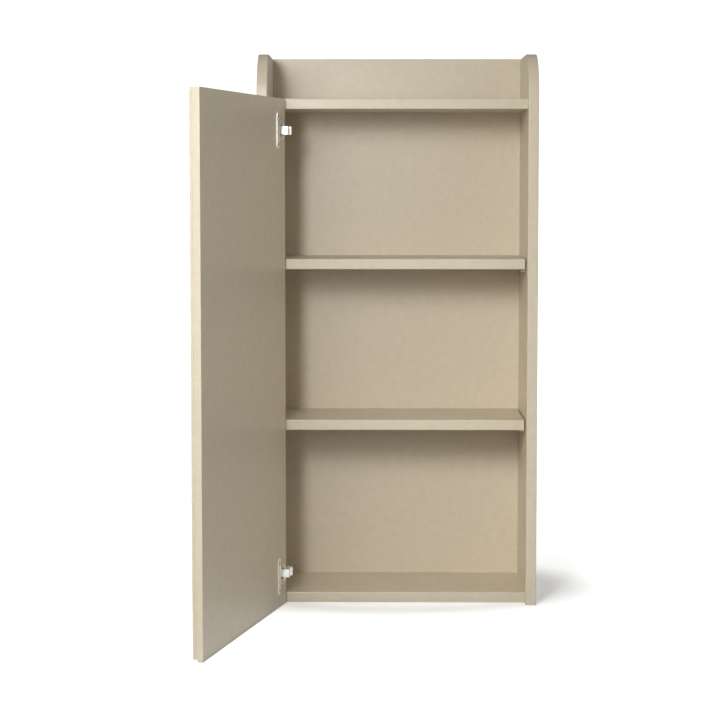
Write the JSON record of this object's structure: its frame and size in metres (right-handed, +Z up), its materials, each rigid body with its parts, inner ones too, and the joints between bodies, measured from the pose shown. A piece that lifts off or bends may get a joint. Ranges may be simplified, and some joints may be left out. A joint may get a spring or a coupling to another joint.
{
  "type": "wall cabinet",
  "caption": "Narrow wall cabinet with rounded side tops, an open gallery, loose shelves and an inset door on concealed cup hinges, drawn with the door open.",
  "frame": {"origin": "middle of the carcass footprint, in the plane of the bottom of the sides", "axes": "+Z up, -Y the front with the door, +Y the wall side, +X to the right of someone who faces the cabinet"},
  "size_m": [0.4625, 0.5148, 0.792],
  "materials": {
    "carcass_lacquer": "satin lacquer, warm beige, on fibreboard",
    "back_lacquer": "satin lacquer, warm beige, on fibreboard",
    "door_lacquer": "satin lacquer, warm beige, on fibreboard",
    "dowel_wood": "raw beech",
    "pin_steel": "nickel plated",
    "screw_steel": "zinc plated",
    "hanger_steel": "zinc plated",
    "hinge_steel": "nickel plated, bright"
  },
  "bodies": {
    "carcass": {"side_left": "carcass_lacquer", "side_right": "carcass_lacquer", "back_board": "back_lacquer", "top_panel": "carcass_lacquer", "bottom_panel": "carcass_lacquer", "shelf_upper": "carcass_lacquer", "shelf_lower": "carcass_lacquer", "shelf_pins": "pin_steel", "carcass_dowels": "dowel_wood", "back_screws": "screw_steel", "hanger_plates": "hanger_steel", "hanger_screws": "screw_steel", "hinge_plate_upper": "hinge_steel", "hinge_plate_lower": "hinge_steel", "hinge_plate_screws": "screw_steel", "hinge_arm_upper": "hinge_steel", "hinge_arm_lower": "hinge_steel", "hinge_clamp_screws": "screw_steel", "hinge_adjust_screws": "screw_steel"},
    "door": {"door_front_leaf": "door_lacquer", "door_back_leaf": "door_lacquer", "hinge_cup_upper": "hinge_steel", "hinge_cup_lower": "hinge_steel", "hinge_cup_screws": "screw_steel", "hinge_pins": "hinge_steel"}
  },
  "joints": [
    {"name": "door_swing", "type": "hinge", "parent": "carcass", "child": "door", "pos_m": [-0.1723, -0.0815, 0.3635], "axis": [0, 0, 1], "range_deg": [0, 104]}
  ]
}
